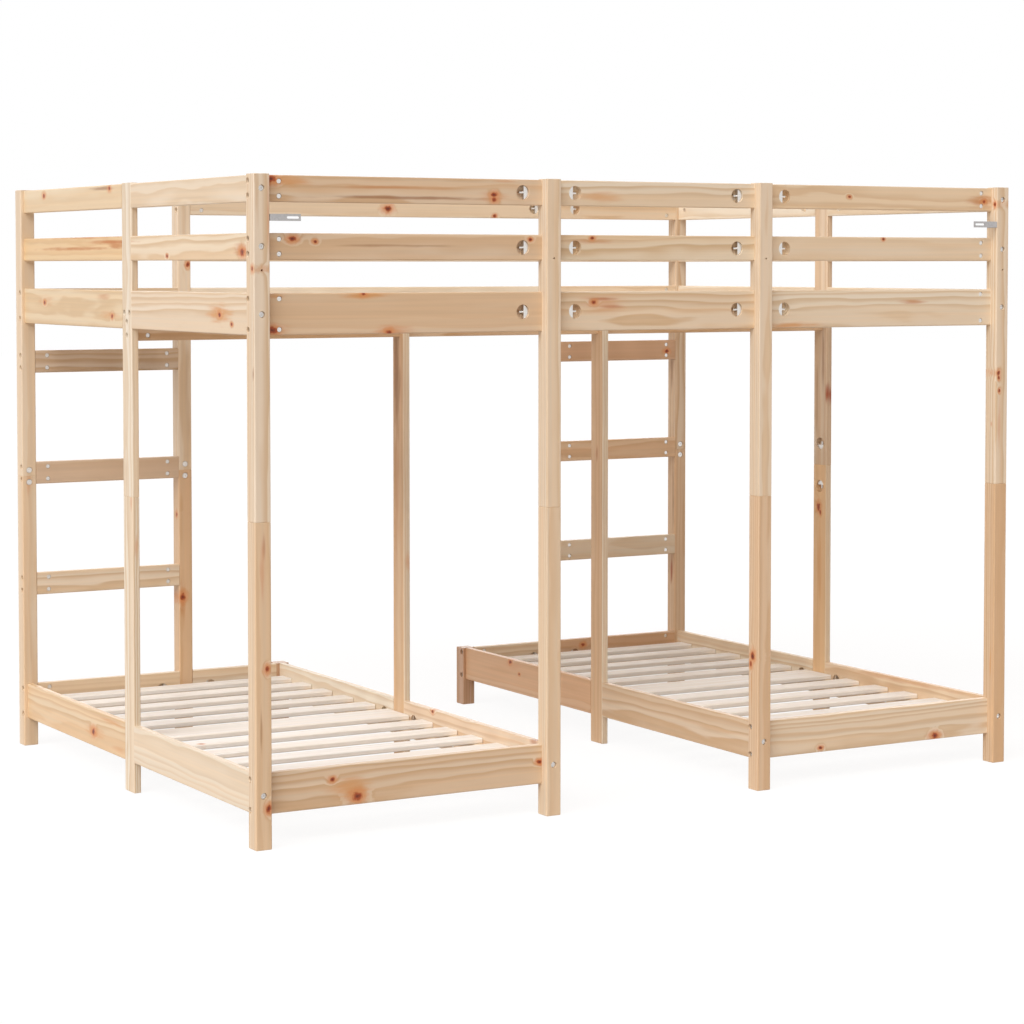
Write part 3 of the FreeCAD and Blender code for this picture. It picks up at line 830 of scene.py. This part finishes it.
@dataclass
class UpperBed:
    """Guards, low rails, slats, ledges and mid beam of the wide upper bed; sizes in millimetres."""

    guard_height: float = 58.0
    slat_width: float = 58.0
    slat_count: int = 16
    ledge_width: float = 25.0
    bays: tuple[str, ...] = ("left", "middle", "right")
    unseen: Figure = Figure(Tone.BUFF, chance_knots=0.1)
    figures: dict[str, Figure] = field(default_factory=lambda: {
        "wall_guards_left": Figure(
            Tone.TAN,
            (
                Knot((-436, -715, 1413), 5),
                Knot((-436, -715, 1402), 5),
                Knot((-984, -715, 1440), 8),
                Knot((-935, -715, 1312), 6),
                Knot((-881, -715, 1306), 3.5),
                Knot((-343, -715, 1313), 3.5),
            ),
            (
                Streak((-950, -715, 1436), 60, 16, StainAndShade.AMBER, 0.75),
                Streak((-640, -715, 1403), 280, 5, StainAndShade.BROWN, 0.75),
                Streak((-690, -715, 1425), 220, 5, StainAndShade.RUST, 0.55),
                Streak((-690, -715, 1298), 200, 4, StainAndShade.BROWN, 0.6),
                Streak((-800, -715, 1331), 90, 4, StainAndShade.RED, 0.6),
                Streak((-440, -715, 1407), 44, 16, StainAndShade.SALMON, 0.6),
                Streak((-409, -715, 1443), 40, 4, StainAndShade.SALMON, 0.6),
            ),
        ),
        "wall_guards_middle": Figure(
            Tone.PALE,
            (Knot((-178, -715, 1317), 3.5),),
            (
                Streak((-159, -715, 1412), 70, 16, StainAndShade.AMBER, 0.55),
                Streak((-180, -715, 1310), 60, 10, StainAndShade.RUST, 0.5),
            ),
            (Cast("#FAF5ED", {Axis.Z: (1250, 1357)}),),
        ),
        "wall_guards_right": Figure(
            Tone.PALE,
            (Knot((974, -715, 1414), 4), Knot((554, -715, 1421), 3), Knot((658, -715, 1319), 3)),
            (Streak((966, -715, 1414), 52, 18, StainAndShade.RUST, 0.75),),
            (Cast("#FCF0E1", {Axis.Z: (1357, 1460)}),),
        ),
        "wall_low_rail_left": Figure(
            Tone.TAN,
            (Knot((-702, -715, 1109), 5), Knot((-764, -715, 1192), 4), Knot((-982, -715, 1116), 7)),
            (
                Streak((-693, -715, 1112), 56, 18, StainAndShade.SALMON, 0.95),
                Streak((-767, -715, 1189), 74, 10, StainAndShade.AMBER, 0.8),
                Streak((-975, -715, 1189), 26, 7, StainAndShade.AMBER, 0.6),
                Streak((-965, -715, 1118), 34, 12, StainAndShade.SALMON, 0.6),
            ),
        ),
        "wall_low_rail_middle": Figure(
            Tone.BUFF,
            (Knot((-174, -715, 1170), 4.5),),
            (
                Streak((-148, -715, 1178), 44, 5, StainAndShade.RED, 0.8),
                Streak((-128, -715, 1160), 44, 5, StainAndShade.RED, 0.7),
                Streak((-150, -715, 1166), 80, 28, StainAndShade.SALMON, 0.6),
            ),
        ),
        "wall_low_rail_right": Figure(
            Tone.PALE,
            (),
            (
                Streak((750, -715, 1166), 46, 8, StainAndShade.RUST, 0.7),
                Streak((389, -715, 1112), 100, 9, StainAndShade.AMBER, 0.8),
            ),
        ),
        "ladder_guards_middle": Figure(Tone.PALE, (Knot((35, 715, 1413), 8), Knot((378, 715, 1396), 4))),
        "ladder_low_rail_middle": Figure(Tone.PALE),
        "left_end_guards": Figure(
            Tone.PALE,
            (
                Knot((-1017, 557, 1432), 5, Axis.X),
                Knot((-1017, 106, 1439), 5, Axis.X),
                Knot((-1017, -248, 1276), 3.5, Axis.X),
                Knot((-1017, -666, 1283), 8, Axis.X),
            ),
            (
                Streak((-1017, 150, 1440), 90, 6, StainAndShade.BROWN, 0.7, Axis.X),
                Streak((-1017, 110, 1311), 190, 6, StainAndShade.RUST, 0.95, Axis.X),
                Streak((-1017, 330, 1296), 300, 6, StainAndShade.RUST, 0.8, Axis.X),
                Streak((-1017, 260, 1325), 300, 6, StainAndShade.RUST, 0.85, Axis.X),
                Streak((-1017, 60, 1304), 70, 14, StainAndShade.RUST, 0.8, Axis.X),
                Streak((-1017, -664, 1287), 46, 20, StainAndShade.RUST, 0.85, Axis.X),
            ),
            (
                Cast("#FFF9F0", {Axis.Y: (-800, 0), Axis.Z: (1250, 1357)}),
                Cast("#FEFAEF", {Axis.Y: (0, 800), Axis.Z: (1357, 1460)}),
                Cast("#FDEACB", {Axis.Y: (0, 800), Axis.Z: (1250, 1357)}),
            ),
        ),
        "left_end_low_rails": Figure(
            Tone.CREAM,
            (
                Knot((-1017, 557, 1161), 4.5, Axis.X),
                Knot((-1017, 93, 1133), 4.5, Axis.X),
                Knot((-1017, -543, 1147), 5, Axis.X),
                Knot((-1017, -608, 1127), 3.5, Axis.X),
            ),
            (
                Streak((-1017, -540, 1149), 80, 26, StainAndShade.AMBER, 0.85, Axis.X),
                Streak((-1017, 110, 1136), 70, 14, StainAndShade.AMBER, 0.6, Axis.X),
                Streak((-1017, 150, 1180), 60, 10, StainAndShade.RUST, 0.5, Axis.X),
                Streak((-1017, 545, 1165), 60, 16, StainAndShade.AMBER, 0.5, Axis.X),
            ),
            (Cast("#FCF6E6", {Axis.Y: (0, 800)}),),
        ),
        "right_end_guards": Figure(Tone.PALE),
        "right_end_low_rails": Figure(Tone.PALE),
        "mid_beam_uprights": Figure(Tone.RUSSET),
        "mid_beam_cap": Figure(Tone.TAN),
    })

    def dress(self, seed: int) -> int:
        """Give every board of the upper bed its wood.

        Args:
            seed: first free seed.

        Returns:
            Next free seed.
        """
        lays: dict[str, Lay] = {}
        for row in ("wall", "ladder"):
            for bay in self.bays:
                node = f"{row}_guards_{bay}"
                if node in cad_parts:
                    lays[node] = Lay(Axis.X, Axis.Y, {Axis.Z: Row.spread(node, Axis.Z, 2, self.guard_height)})
                lays[f"{row}_low_rail_{bay}"] = Lay(Axis.X, Axis.Y)
        for side in Side:
            node = f"{side.value}_end_guards"
            rows = {Axis.Z: Row.spread(node, Axis.Z, 2, self.guard_height), Axis.Y: Row.parted(0.0)}
            lays[node] = Lay(Axis.Y, Axis.X, rows)
            lays[f"{side.value}_end_low_rails"] = Lay(Axis.Y, Axis.X, {Axis.Y: Row.parted(0.0)})
        lays["mid_beam_cap"] = Lay(Axis.X, Axis.Z)
        lays["mid_beam_uprights"] = Lay(Axis.X, Axis.Y)
        node = "upper_bed_ledges"
        lays[node] = Lay(Axis.X, Axis.Z, {Axis.Y: Row.spread(node, Axis.Y, 2, self.ledge_width)})
        for node, lay in lays.items():
            dress(node, BOARD_PINE.material(node, lay, self.figures.get(node, self.unseen), seed))
            seed += 1
        node = "upper_bed_slats"
        lay = Lay(Axis.Y, Axis.Z, {Axis.X: Row.spread(node, Axis.X, self.slat_count, self.slat_width)})
        dress(node, SLAT_PINE.material(node, lay, Figure(Tone.WHITE), seed))
        return seed + 1


@dataclass
class LowerBed:
    """One single bed: rails, ledges and slats; sizes in millimetres."""

    side: Side
    slat_width: float = 58.0
    slats_per_half: int = 5
    ledge_width: float = 25.0
    ladder_post: float = 579.0
    figures: dict[str, Figure] = field(default_factory=lambda: {
        "left_bed_wall_rail": Figure(
            Tone.TAN,
            (Knot((-783, -715, 90), 9), Knot((-844, -715, 133), 4.5), Knot((-318, -715, 123), 4.5)),
            (
                Streak((-806, -715, 112), 64, 30, StainAndShade.AMBER, 0.7),
                Streak((-312, -715, 121), 16, 14, StainAndShade.RED, 0.5),
            ),
        ),
        "left_bed_ladder_rails": Figure(Tone.CREAM),
        "left_bed_outer_rails": Figure(
            Tone.PALE,
            (Knot((-1017, 236, 108), 8, Axis.X),),
            (
                Streak((-1017, 225, 110), 70, 22, StainAndShade.AMBER, 0.7, Axis.X),
                Streak((-1017, 120, 150), 120, 8, StainAndShade.AMBER, 0.6, Axis.X),
                Streak((-1017, 60, 90), 60, 10, StainAndShade.AMBER, 0.5, Axis.X),
            ),
            (Cast("#FAEDDB", {Axis.Y: (0, 800)}),),
        ),
        "left_bed_inner_rails": Figure(
            Tone.PALE,
            (Knot((-291, -179, 157), 4, Axis.X),),
            (Streak((-291, -669, 161), 20, 12, StainAndShade.RED, 0.5, Axis.X),),
            (Cast("#FDF4EF", {Axis.Y: (-800, 0)}),),
        ),
        "right_bed_wall_rail": Figure(
            Tone.CREAM, (Knot((829, -715, 81), 7), Knot((476, -715, 83), 4)),
            (Streak((829, -715, 81), 40, 10, StainAndShade.SALMON, 0.6),),
        ),
        "right_bed_ladder_rails": Figure(
            Tone.CREAM, (Knot((676, 715, 143), 5),), (), (Cast("#F0DCCE", {Axis.X: (579, 1100)}),)
        ),
        "right_bed_outer_rails": Figure(
            Tone.PALE,
            (),
            (Streak((1017, -360, 157), 360, 9, StainAndShade.AMBER, 0.5, Axis.X),),
            (Cast("#FFF2E5", {Axis.Y: (-800, 0)}),),
        ),
        "right_bed_inner_rails": Figure(
            Tone.TAN,
            (Knot((291, 454, 154), 5, Axis.X), Knot((291, 404, 127), 3, Axis.X)),
            (Streak((291, 440, 148), 60, 16, StainAndShade.SALMON, 0.6, Axis.X),),
            # Painted shade: the back board, which lies in shade, is darkened and warmed further.
            (Cast("#FFEFE3", {Axis.Y: (0, 800)}),),
        ),
    })

    def dress(self, seed: int) -> int:
        """Give every board of this bed its wood.

        Args:
            seed: first free seed.

        Returns:
            Next free seed.
        """
        bed = f"{self.side.value}_bed"
        post = (-1 if self.side is Side.LEFT else 1) * self.ladder_post * MM
        halves = {Axis.Y: Row.parted(0.0)}
        lays = {
            f"{bed}_wall_rail": Lay(Axis.X, Axis.Y),
            f"{bed}_ladder_rails": Lay(Axis.X, Axis.Y, {Axis.X: Row.parted(post)}),
            f"{bed}_outer_rails": Lay(Axis.Y, Axis.X, halves),
            f"{bed}_inner_rails": Lay(Axis.Y, Axis.X, halves),
        }
        node = f"{bed}_ledges"
        lays[node] = Lay(Axis.Y, Axis.Z, {Axis.X: Row.spread(node, Axis.X, 2, self.ledge_width)})
        for node, lay in lays.items():
            dress(node, BOARD_PINE.material(node, lay, self.figures.get(node, Figure()), seed))
            seed += 1
        slats = {f"{bed}_slats": self.slat_lay(f"{bed}_slats"), f"{bed}_centre_slat": Lay(Axis.X, Axis.Z)}
        for node, lay in slats.items():
            dress(node, SLAT_PINE.material(node, lay, Figure(Tone.WHITE), seed))
            seed += 1
        return seed

    def slat_lay(self, node: str) -> Lay:
        """How the slats lie: alike on both halves of the bed, about the wide centre slat.

        Args:
            node: name of the slats' node.

        Returns:
            Their lay.
        """
        low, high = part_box(f"{self.side.value}_bed_centre_slat")
        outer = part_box(node)[1].y
        half = self.slat_width * MM / 2
        step = (outer - high.y) / self.slats_per_half
        rows = {Axis.Y: Row(outer - half, step), Axis.X: Row(abs(low.x + high.x) / 2, FAR_APART)}
        return Lay(Axis.X, Axis.Z, rows, True)


@dataclass
class Ladders:
    """Rungs of the two built-in ladders; sizes in millimetres."""

    rung_height: float = 58.0
    rung_count: int = 3
    figures: dict[str, Figure] = field(default_factory=lambda: {
        "left_ladder_rungs": Figure(
            # Painted shade: the middle rung is darkened and the top rung more, under the upper bed.
            Tone.CREAM, (), (), (Cast("#EEEAEC", {Axis.Z: (570, 860)}), Cast("#E3DDDA", {Axis.Z: (860, 1100)}))
        ),
        "right_ladder_rungs": Figure(
            Tone.PALE,
            (Knot((967, 715, 1001), 5),),
            (),
            # Painted shade: the middle rung is darkened and the top rung more, under the upper bed.
            (Cast("#FAE6D4", {Axis.Z: (570, 860)}), Cast("#E5CEC0", {Axis.Z: (860, 1100)})),
        ),
    })

    def dress(self, seed: int) -> int:
        """Give the rungs their wood.

        Args:
            seed: first free seed.

        Returns:
            Next free seed.
        """
        for node, figure in self.figures.items():
            lay = Lay(Axis.X, Axis.Y, {Axis.Z: Row.spread(node, Axis.Z, self.rung_count, self.rung_height)})
            dress(node, BOARD_PINE.material(node, lay, figure, seed))
            seed += 1
        return seed


@dataclass
class Fixings:
    """Bolts, nuts, rods, pins, screws and wall brackets."""

    bright: tuple[str, ...] = (
        "barrel_nuts", "threaded_rods", "half_moon_nuts", "post_joint_bolts", "post_joint_pins", "pan_head_screws"
    )
    polished: tuple[str, ...] = ("connector_bolts",)
    brackets: tuple[str, ...] = ("wall_bracket_left", "wall_bracket_right")

    def dress(self) -> None:
        """Give every fixing its metal."""
        finishes = ((self.bright, BRIGHT_ZINC), (self.polished, POLISHED_ZINC), (self.brackets, GALVANISED))
        for nodes, steel in finishes:
            material = steel.material()
            for node in nodes:
                dress(node, material)


@dataclass(frozen=True)
class DistantLamp:
    """A broad lamp far off: the side and height it comes from and its width, in degrees, and its strength."""

    name: str
    turn: float
    rise: float
    width: float
    strength: float
    colour: str = "#FFFFFF"

    def hang(self) -> None:
        """Hang the lamp; a turn of nought is straight from the left end, more is towards the wall side."""
        data = bpy.data.lights.new(self.name, "SUN")
        data.energy = self.strength
        data.angle = math.radians(self.width)
        data.color = linear(self.colour)[:3]
        lamp = bpy.data.objects.new(self.name, data)
        bpy.context.scene.collection.objects.link(lamp)
        turn, rise = math.radians(self.turn), math.radians(self.rise)
        beam = Vector((math.cos(turn) * math.cos(rise), math.sin(turn) * math.cos(rise), -math.sin(rise)))
        lamp.rotation_euler = beam.to_track_quat("-Z", "Y").to_euler()


@dataclass
class Studio:
    """White floor, soft light and the camera."""

    floor_side: float = 60.0
    floor_bounce: str = "#D8D2CC"
    floor_glow: float = 0.905
    floor_shade: float = 0.13
    sky: float = 0.23
    sky_colour: str = "#FFD2AC"
    place: Place = (-3.3856, -5.9121, 1.253)
    yaw: float = 30.0
    pitch: float = 2.537
    focal_pixels: float = 2659.3
    image_pixels: float = 1024.0
    sensor: float = 36.0
    shift: float = -0.125
    lamps: tuple[DistantLamp, ...] = (
        DistantLamp("left_key", 10.0, 36.0, 40.0, 1.50, "#F3F8FF"),
        DistantLamp("front_left_fill", 45.0, 40.0, 40.0, 1.46, "#FFFDFA"),
        DistantLamp("front_top", 90.0, 52.0, 16.0, 0.33),
        DistantLamp("back", -120.0, 15.0, 40.0, 0.7),
    )

    def build(self) -> None:
        """Set the whole studio up."""
        self.lay_floor()
        self.light_sky()
        for lamp in self.lamps:
            lamp.hang()
        self.stand_camera()

    def lay_floor(self) -> None:
        """Lay a pale floor that glows white to the camera and still takes the bed's shadow."""
        half = self.floor_side / 2
        mesh = bpy.data.meshes.new("studio_floor")
        corners = [(-half, -half, 0), (half, -half, 0), (half, half, 0), (-half, half, 0)]
        mesh.from_pydata(corners, [], [(0, 1, 2, 3)])
        floor = bpy.data.objects.new("studio_floor", mesh)
        bpy.context.scene.collection.objects.link(floor)
        material = empty_material("matt_white_floor")
        tree = material.node_tree
        seen = self.seen_share(tree)
        shade = (self.floor_shade,) * 3 + (1.0,)
        paint = add_node(tree, "Mix", {0: seen, 6: linear(self.floor_bounce), 7: shade}, data_type="RGBA")[2]
        strength = add_node(tree, "Math", {0: seen, 1: self.floor_glow}, operation="MULTIPLY")[0]
        matt = add_node(tree, "BsdfDiffuse", {"Color": paint})[0]
        glow = add_node(tree, "Emission", {"Strength": strength})[0]
        shader = add_node(tree, "AddShader", {0: matt, 1: glow})[0]
        add_node(tree, "OutputMaterial", {"Surface": shader})
        mesh.materials.append(material)

    def seen_share(self, tree: Tree) -> Socket:
        """One where the camera looks, directly or by a mirror or glass, and nought for other light.

        Args:
            tree: node tree that takes the nodes.

        Returns:
            The share.
        """
        path = add_node(tree, "LightPath")
        glossy = add_node(
            tree, "Math", {0: path["Is Camera Ray"], 1: path["Is Glossy Ray"]}, operation="MAXIMUM"
        )[0]
        return add_node(tree, "Math", {0: glossy, 1: path["Is Transmission Ray"]}, operation="MAXIMUM")[0]

    def light_sky(self) -> None:
        """Make the surroundings white to the eye and an even soft light to the bed."""
        world = bpy.data.worlds.new("white_room")
        world.use_nodes = True
        bpy.context.scene.world = world
        tree = world.node_tree
        tree.nodes.clear()
        seen = self.seen_share(tree)
        strength = add_node(tree, "MapRange", {"Value": seen, "To Min": self.sky, "To Max": 1.0})[0]
        tint = add_node(
            tree, "Mix", {0: seen, 6: linear(self.sky_colour), 7: linear("#FFFFFF")}, data_type="RGBA"
        )[2]
        light = add_node(tree, "Background", {"Color": tint, "Strength": strength})[0]
        add_node(tree, "OutputWorld", {"Surface": light})

    def stand_camera(self) -> None:
        """Stand the camera where the photograph was taken from."""
        data = bpy.data.cameras.new("camera")
        data.sensor_width = self.sensor
        data.lens = self.focal_pixels * self.sensor / self.image_pixels
        data.shift_y = self.shift
        camera = bpy.data.objects.new("camera", data)
        bpy.context.scene.collection.objects.link(camera)
        camera.location = self.place
        camera.rotation_euler = (math.radians(90 - self.pitch), 0.0, math.radians(-self.yaw))
        bpy.context.scene.camera = camera


def main() -> None:
    """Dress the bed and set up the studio."""
    logging.basicConfig(level=logging.INFO, format="%(name)s %(message)s")
    bpy.context.scene.view_settings.view_transform = "Standard"
    seed = Uprights().dress(1)
    seed = UpperBed().dress(seed)
    for side in Side:
        seed = LowerBed(side).dress(seed)
    Ladders().dress(seed)
    Fixings().dress()
    Studio().build()


if __name__ == "__main__":
    main()
